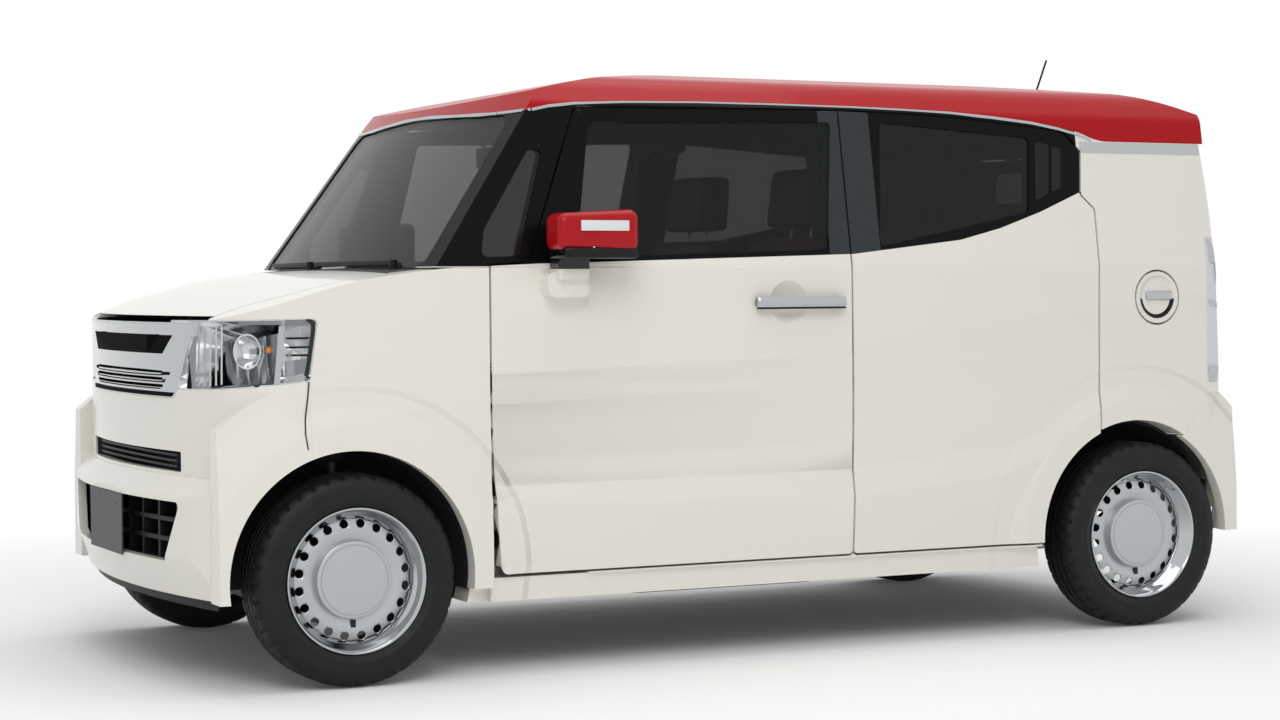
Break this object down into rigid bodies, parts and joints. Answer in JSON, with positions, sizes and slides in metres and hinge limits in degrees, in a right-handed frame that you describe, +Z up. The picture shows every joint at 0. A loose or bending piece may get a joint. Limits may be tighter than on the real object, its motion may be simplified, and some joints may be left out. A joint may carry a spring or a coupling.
{
  "type": "small five-door car",
  "caption": "Boxy small passenger car, ivory body and red roof, with opening doors, bonnet, tailgate and fuel lid, steering and rolling wheels.",
  "frame": {"origin": "on the ground, midway along the overall length, on the centre plane", "axes": "+X forward, +Y to the car's left, +Z up"},
  "size_m": [3.3945, 1.7512, 1.7732],
  "materials": {
    "body_paint": "ivory white pearl paint, glossy",
    "roof_paint": "red paint, glossy",
    "black_plastic": "black, fine grain",
    "dash_plastic": "dark grained plastic",
    "underbody": "black underseal",
    "chassis_black": "black enamel",
    "cast_metal": "raw casting",
    "chrome": "polished",
    "lamp_clear": "clear lens",
    "lamp_red": "red and clear lens",
    "glass": "tinted, polished",
    "mirror": "silvered glass",
    "seat_fabric": "red-brown cloth",
    "exhaust_steel": "heat-dulled steel",
    "plate_grey": "dark grey, blank",
    "tyre": "black rubber",
    "wheel_steel": "silver paint with a polished rim"
  },
  "bodies": {
    "body": {"floor_pan": "underbody", "body_sides": "body_paint", "roof": "roof_paint", "front_bumper": "body_paint", "bumper_lip": "black_plastic", "intake_mesh": "black_plastic", "grille": "chrome", "headlamps": "lamp_clear", "front_fenders": "body_paint", "wheel_housings": "underbody", "bulkhead": "underbody", "cowl": "black_plastic", "rear_bumper": "body_paint", "tail_lamps": "lamp_red", "windscreen": "glass", "corner_glass": "glass", "dashboard": "dash_plastic", "front_seats": "seat_fabric", "rear_seat": "seat_fabric", "engine_block": "cast_metal", "front_subframe": "chassis_black", "rear_axle": "chassis_black", "fuel_tank": "black_plastic", "exhaust": "exhaust_steel", "antenna": "black_plastic", "wipers": "black_plastic", "front_plate": "plate_grey"},
    "bonnet": {"bonnet": "body_paint"},
    "tailgate": {"tailgate": "body_paint", "tailgate_glass": "glass"},
    "fuel_lid": {"fuel_lid": "body_paint"},
    "steering_wheel": {"steering_wheel": "dash_plastic"},
    "front_door_left": {"door_front_left": "body_paint", "glass_front_left": "glass", "handle_left": "chrome", "mirror_left": "roof_paint", "mirror_foot_left": "black_plastic", "mirror_glass_left": "mirror"},
    "rear_door_left": {"door_rear_left": "body_paint", "glass_rear_left": "glass"},
    "knuckle_left": {"knuckle_left": "cast_metal"},
    "front_wheel_left": {"tyre_front_left": "tyre", "wheel_front_left": "wheel_steel"},
    "rear_wheel_left": {"tyre_rear_left": "tyre", "wheel_rear_left": "wheel_steel"},
    "front_door_right": {"door_front_right": "body_paint", "glass_front_right": "glass", "handle_right": "chrome", "mirror_right": "roof_paint", "mirror_foot_right": "black_plastic", "mirror_glass_right": "mirror"},
    "rear_door_right": {"door_rear_right": "body_paint", "glass_rear_right": "glass"},
    "knuckle_right": {"knuckle_right": "cast_metal"},
    "front_wheel_right": {"tyre_front_right": "tyre", "wheel_front_right": "wheel_steel"},
    "rear_wheel_right": {"tyre_rear_right": "tyre", "wheel_rear_right": "wheel_steel"}
  },
  "joints": [
    {"name": "front_door_left_swing", "type": "hinge", "parent": "body", "child": "front_door_left", "pos_m": [0.853, 0.7385, 0.7], "axis": [0, 0, -1], "range_deg": [0, 65]},
    {"name": "rear_door_left_swing", "type": "hinge", "parent": "body", "child": "rear_door_left", "pos_m": [-0.2682, 0.7385, 0.7], "axis": [0, 0, -1], "range_deg": [0, 70]},
    {"name": "steer_left", "type": "hinge", "parent": "body", "child": "knuckle_left", "pos_m": [1.227, 0.6, 0.165], "axis": [0, -0.1874, 0.9823], "range_deg": [-35, 35]},
    {"name": "front_wheel_left_roll", "type": "hinge", "parent": "knuckle_left", "child": "front_wheel_left", "pos_m": [1.227, 0.6525, 0.2785], "axis": [0, 1, 0], "continuous": true},
    {"name": "rear_wheel_left_roll", "type": "hinge", "parent": "body", "child": "rear_wheel_left", "pos_m": [-1.293, 0.6525, 0.2785], "axis": [0, 1, 0], "continuous": true},
    {"name": "front_door_right_swing", "type": "hinge", "parent": "body", "child": "front_door_right", "pos_m": [0.853, -0.7385, 0.7], "axis": [0, 0, 1], "range_deg": [0, 65]},
    {"name": "rear_door_right_swing", "type": "hinge", "parent": "body", "child": "rear_door_right", "pos_m": [-0.2682, -0.7385, 0.7], "axis": [0, 0, 1], "range_deg": [0, 70]},
    {"name": "steer_right", "type": "hinge", "parent": "body", "child": "knuckle_right", "pos_m": [1.227, -0.6, 0.165], "axis": [0, 0.1874, 0.9823], "range_deg": [-35, 35]},
    {"name": "front_wheel_right_roll", "type": "hinge", "parent": "knuckle_right", "child": "front_wheel_right", "pos_m": [1.227, -0.6525, 0.2785], "axis": [0, 1, 0], "continuous": true},
    {"name": "rear_wheel_right_roll", "type": "hinge", "parent": "body", "child": "rear_wheel_right", "pos_m": [-1.293, -0.6525, 0.2785], "axis": [0, 1, 0], "continuous": true},
    {"name": "bonnet_lift", "type": "hinge", "parent": "body", "child": "bonnet", "pos_m": [1.108, 0, 1.09], "axis": [0, -1, 0], "range_deg": [0, 50]},
    {"name": "tailgate_lift", "type": "hinge", "parent": "body", "child": "tailgate", "pos_m": [-1.64, 0, 1.464], "axis": [0, 1, 0], "range_deg": [0, 75]},
    {"name": "fuel_lid_swing", "type": "hinge", "parent": "body", "child": "fuel_lid", "pos_m": [-1.266, 0.7275, 0.996], "axis": [0, 0, -1], "range_deg": [0, 90]},
    {"name": "steering_wheel_turn", "type": "hinge", "parent": "body", "child": "steering_wheel", "pos_m": [0.452, -0.35, 0.938], "axis": [-0.9135, 0, 0.4067], "range_deg": [-525, 525]}
  ],
  "couplings": [
    {"joint": "steer_right", "follows": "steer_left", "ratio": 1},
    {"joint": "steering_wheel_turn", "follows": "steer_left", "ratio": 15}
  ]
}
